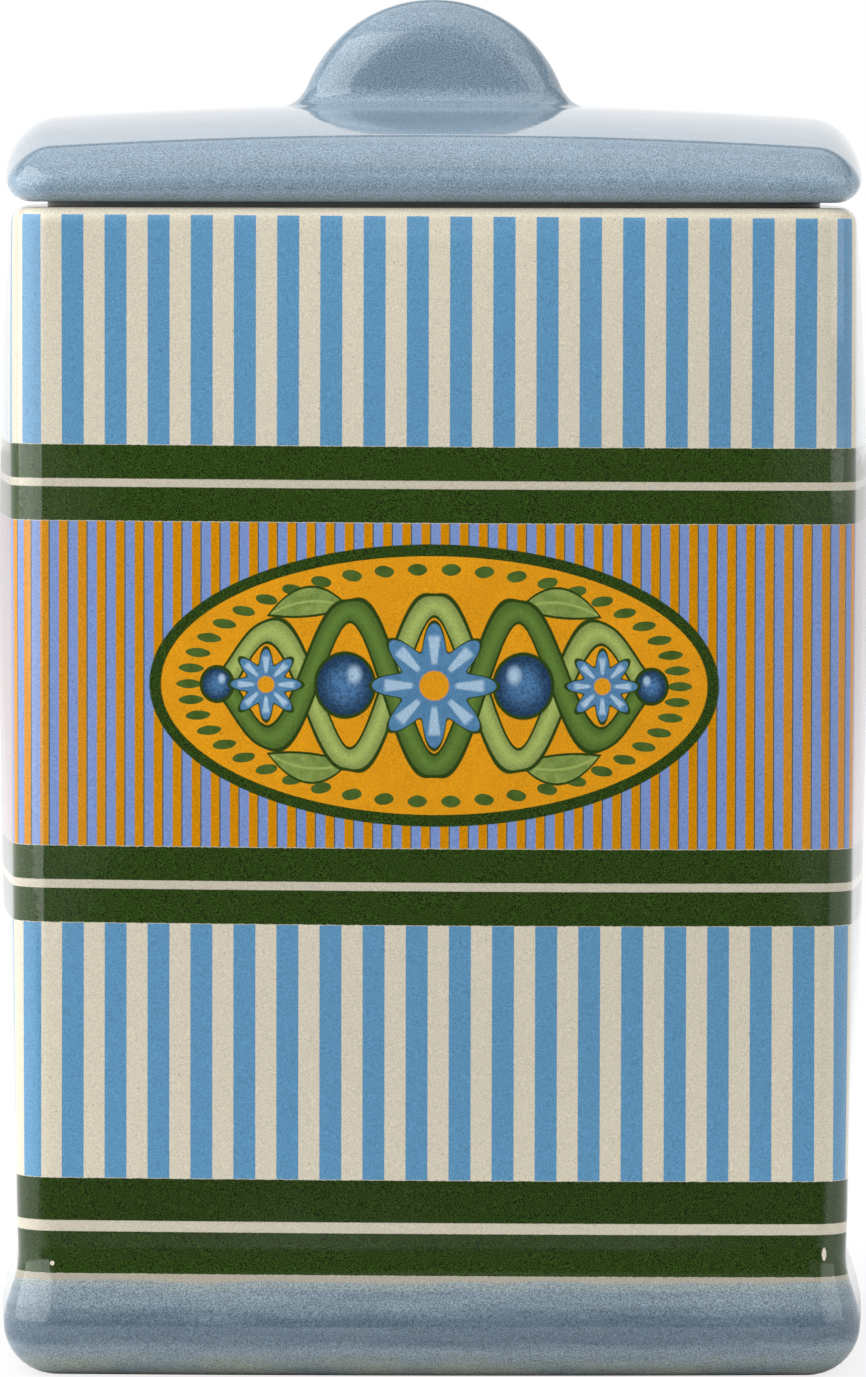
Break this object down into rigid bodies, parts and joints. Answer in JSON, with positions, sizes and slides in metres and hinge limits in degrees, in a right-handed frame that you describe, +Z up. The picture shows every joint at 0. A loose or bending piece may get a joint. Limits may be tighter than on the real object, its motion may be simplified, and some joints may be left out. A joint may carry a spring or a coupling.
{
  "type": "olive jar",
  "caption": "Square glazed stoneware storage jar with bowed sides, a flared foot and a lift-off domed lid with a half-disc knob and a silicone seal.",
  "frame": {"origin": "middle of the flat ring that the jar stands on", "axes": "+Z up towards the lid, -Y out of the decorated front, +X to the right of someone facing that front"},
  "size_m": [0.11, 0.11, 0.1701],
  "materials": {
    "jar_glaze": "cream stoneware with fired stripe transfers under a clear gloss glaze, blue glazed foot, bare clay standing ring",
    "lid_glaze": "grey-blue gloss glaze with a fine speckle",
    "seal_silicone": "milky translucent silicone, satin"
  },
  "bodies": {
    "jar": {"jar_body": "jar_glaze"},
    "lid": {"lid": "lid_glaze", "sealing_ring": "seal_silicone"}
  },
  "joints": [
    {"name": "lid_lift", "type": "slide", "parent": "jar", "child": "lid", "axis": [0, 0, 1], "range_m": [0, 0.1]}
  ]
}
